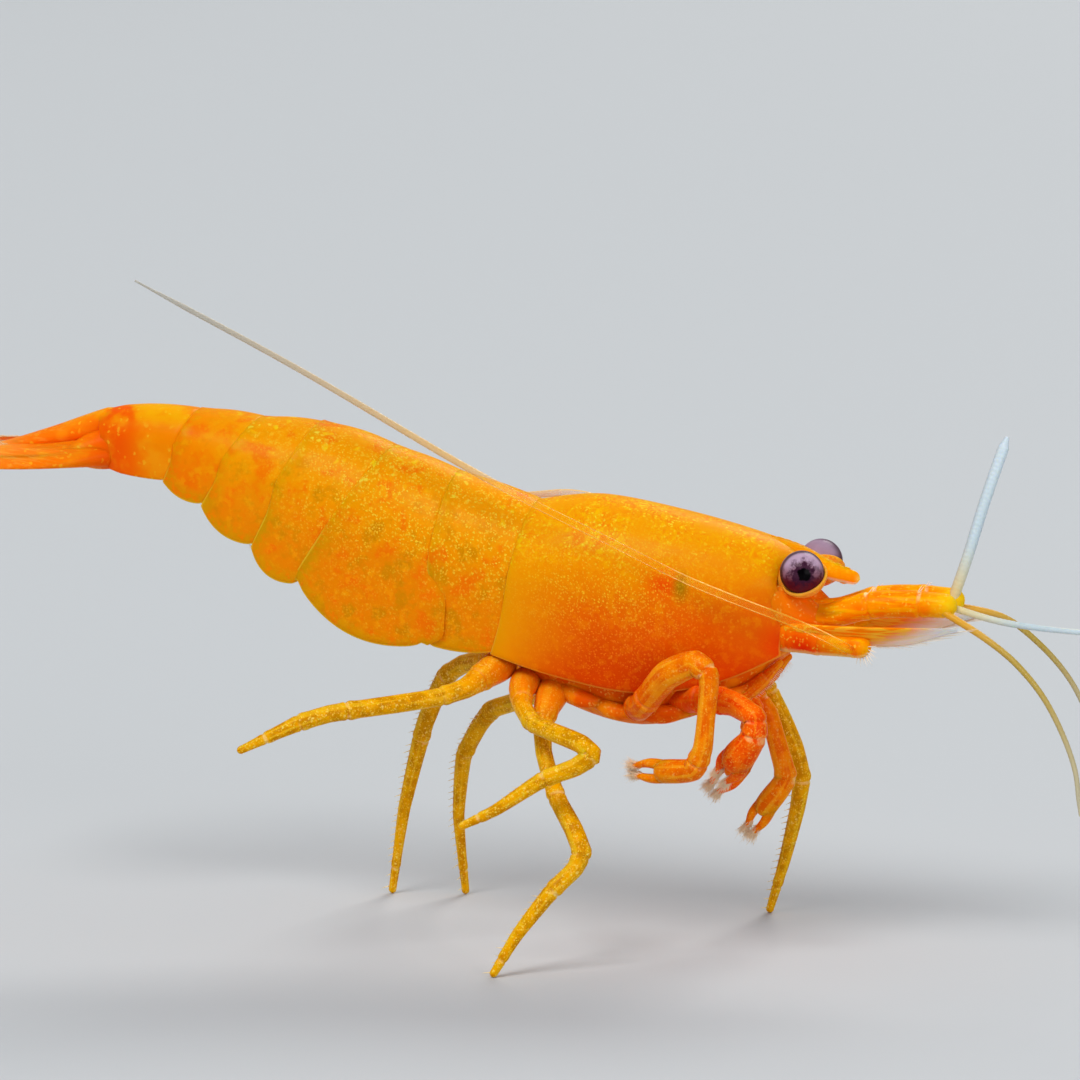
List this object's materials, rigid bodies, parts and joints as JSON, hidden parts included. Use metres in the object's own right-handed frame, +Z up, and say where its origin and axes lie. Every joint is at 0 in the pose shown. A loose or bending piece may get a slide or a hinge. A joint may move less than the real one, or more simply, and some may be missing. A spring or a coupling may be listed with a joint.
{
  "type": "aquarium shrimp, dwarf cherry type (Neocaridina davidi), orange form",
  "caption": "Life-size still model of an orange dwarf aquarium shrimp standing on its legs, claw legs and one rear leg raised, feelers spread.",
  "frame": {"origin": "centre of the bounding box, on the floor under the standing feet", "axes": "+X towards the head and along the body, +Y towards the animal's left, +Z up"},
  "size_m": [0.0348, 0.0114, 0.0185],
  "materials": {
    "shell": "glossy, slightly translucent orange shell with golden flecks",
    "tail": "glossy orange, redder towards the tail fan",
    "limb": "translucent amber with golden flecks and pale joints",
    "claw": "orange to red-orange, pale bristle tufts at the fingers",
    "feeler": "fine, pale and translucent",
    "eye": "glassy, lavender-grey with a black centre",
    "stalk": "translucent orange"
  },
  "bodies": {
    "root": {"carapace": "shell", "thorax": "shell", "abdomen_1": "shell", "abdomen_2": "shell", "abdomen_3": "shell", "abdomen_4": "shell", "abdomen_5": "shell", "abdomen_6": "tail", "pleopods_1": "limb", "pleopods_2": "limb", "pleopods_3": "limb", "pleopods_4": "limb", "pleopods_5": "limb", "telson": "tail", "uropod_inner_right": "tail", "uropod_outer_right": "tail", "uropod_inner_left": "tail", "uropod_outer_left": "tail", "eye_right": "eye", "eyestalk_right": "stalk", "eye_left": "eye", "eyestalk_left": "stalk", "antennule_right": "stalk", "antennal_scale_right": "stalk", "antenna_right": "stalk", "antennule_left": "stalk", "antennal_scale_left": "stalk", "antenna_left": "stalk", "antennule_whip_right_upper": "feeler", "antennule_whip_right_lower": "feeler", "antennule_whip_left_upper": "feeler", "antennule_whip_left_lower": "feeler", "antenna_whip_right_base": "feeler", "antenna_whip_right_tip": "feeler", "antenna_whip_left_base": "feeler", "antenna_whip_left_tip": "feeler", "claw_leg_1_right_upper": "claw", "claw_leg_1_right_lower": "claw", "claw_leg_1_left_upper": "claw", "claw_leg_1_left_lower": "claw", "claw_leg_2_right_upper": "claw", "claw_leg_2_right_lower": "claw", "claw_leg_2_left_upper": "claw", "claw_leg_2_left_lower": "claw", "walking_leg_3_right_upper": "limb", "walking_leg_3_right_lower": "limb", "walking_leg_3_left_upper": "limb", "walking_leg_3_left_lower": "limb", "walking_leg_4_right_upper": "limb", "walking_leg_4_right_lower": "limb", "walking_leg_4_left_upper": "limb", "walking_leg_4_left_lower": "limb", "walking_leg_5_right_upper": "limb", "walking_leg_5_right_lower": "limb", "walking_leg_5_left_upper": "limb", "walking_leg_5_left_lower": "limb", "jaw_leg_right": "limb", "jaw_leg_left": "limb"}
  },
  "joints": []
}
